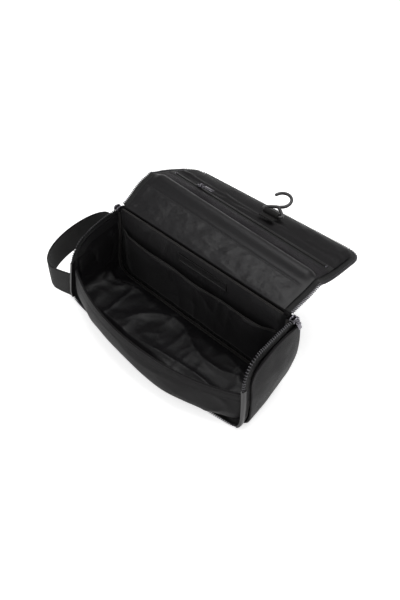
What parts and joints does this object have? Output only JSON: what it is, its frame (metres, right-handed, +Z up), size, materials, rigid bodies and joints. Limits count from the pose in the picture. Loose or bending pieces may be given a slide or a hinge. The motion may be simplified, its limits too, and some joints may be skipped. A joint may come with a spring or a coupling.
{
  "type": "hanging toiletry bag",
  "caption": "Soft box-shaped hanging toiletry bag standing open, with a hinged lid, a folding flap with mesh pocket and hook, zips, and a webbing side handle.",
  "frame": {"origin": "middle of the flat base, on the surface that the bag stands on", "axes": "+X along the bag's width towards the end without the handle, +Y from the front wall to the back panel, +Z up"},
  "size_m": [0.3285, 0.2473, 0.1301],
  "materials": {
    "outer_fabric": "matt woven polyester, charcoal",
    "foam": "closed-cell foam sheet",
    "satin_lining": "satin lining",
    "webbing": "woven webbing",
    "binding_tape": "grosgrain binding",
    "zip_tape": "woven zip tape",
    "zip_teeth": "dark plated zip teeth",
    "zip_coil": "nylon coil",
    "gunmetal": "gunmetal plating on zinc",
    "mesh": "knitted mesh",
    "patch": "blank coated patch",
    "hook_plastic": "moulded acetal"
  },
  "bodies": {
    "bag_body": {"gusset_outer": "outer_fabric", "gusset_foam": "foam", "gusset_lining": "satin_lining", "back_outer": "outer_fabric", "back_foam": "foam", "back_lining": "satin_lining", "back_seam_binding": "binding_tape", "front_wall_outer": "outer_fabric", "front_wall_lining": "satin_lining", "front_rim_hem": "outer_fabric", "facing_left": "outer_fabric", "facing_right": "outer_fabric", "slip_pocket": "satin_lining", "slip_pocket_hem": "binding_tape", "hinge_piping": "binding_tape", "blank_patch": "patch", "body_zip_tape": "zip_tape", "body_zip_teeth": "zip_teeth", "handle_strap": "webbing"},
    "lid": {"lid_outer": "outer_fabric", "lid_foam": "foam", "lid_lining": "satin_lining", "lid_zip_tape_left": "zip_tape", "lid_zip_tape_right": "zip_tape", "lid_zip_teeth_left": "zip_teeth", "lid_zip_teeth_right": "zip_teeth", "fold_piping": "binding_tape"},
    "flap": {"flap_outer": "outer_fabric", "flap_foam": "foam", "flap_backing": "satin_lining", "mesh_pocket": "mesh", "pocket_zip_tape": "zip_tape", "pocket_zip_coil": "zip_coil", "pocket_zip_stop_left": "gunmetal", "pocket_zip_stop_right": "gunmetal", "flap_facing": "outer_fabric", "flap_zip_tape": "zip_tape", "flap_zip_teeth": "zip_teeth", "hook_tab": "webbing"},
    "hook": {"hanging_hook": "hook_plastic"},
    "slider_left_body": {"slider_left": "gunmetal"},
    "slider_right_body": {"slider_right": "gunmetal"},
    "puller_left_body": {"puller_left": "gunmetal"},
    "puller_right_body": {"puller_right": "gunmetal"},
    "pocket_slider_body": {"pocket_slider": "gunmetal"},
    "pocket_puller_body": {"pocket_puller": "gunmetal"}
  },
  "joints": [
    {"name": "lid_hinge", "type": "hinge", "parent": "bag_body", "child": "lid", "pos_m": [0, 0.0385, 0.113], "axis": [1, 0, 0], "range_deg": [-45, 170]},
    {"name": "flap_fold", "type": "hinge", "parent": "lid", "child": "flap", "pos_m": [0, 0.09672, 0.12751], "axis": [1, 0, 0], "range_deg": [-25, 74]},
    {"name": "hook_pivot", "type": "hinge", "parent": "flap", "child": "hook", "pos_m": [0.02, 0.14833, 0.11768], "axis": [1, 0, 0], "range_deg": [-30, 40]},
    {"name": "slider_left_slide", "type": "slide", "parent": "bag_body", "child": "slider_left_body", "axis": [0, -0.9606, -0.2781], "range_m": [0, 0.04]},
    {"name": "slider_right_slide", "type": "slide", "parent": "bag_body", "child": "slider_right_body", "axis": [0, -0.9606, -0.2781], "range_m": [0, 0.04]},
    {"name": "puller_left_pivot", "type": "hinge", "parent": "slider_left_body", "child": "puller_left_body", "pos_m": [-0.13935, 0.03021, 0.10392], "axis": [0, -0.9606, -0.2781], "range_deg": [-90, 0]},
    {"name": "puller_right_pivot", "type": "hinge", "parent": "slider_right_body", "child": "puller_right_body", "pos_m": [0.13935, 0.03021, 0.10392], "axis": [0, -0.9606, -0.2781], "range_deg": [0, 90]},
    {"name": "pocket_slider_slide", "type": "slide", "parent": "flap", "child": "pocket_slider_body", "axis": [1, 0, 0], "range_m": [-0.034, 0.185]},
    {"name": "pocket_puller_pivot", "type": "hinge", "parent": "pocket_slider_body", "child": "pocket_puller_body", "pos_m": [-0.0725, 0.1295, 0.12596], "axis": [0, 0.9455, -0.3256], "range_deg": [-80, 0]}
  ]
}
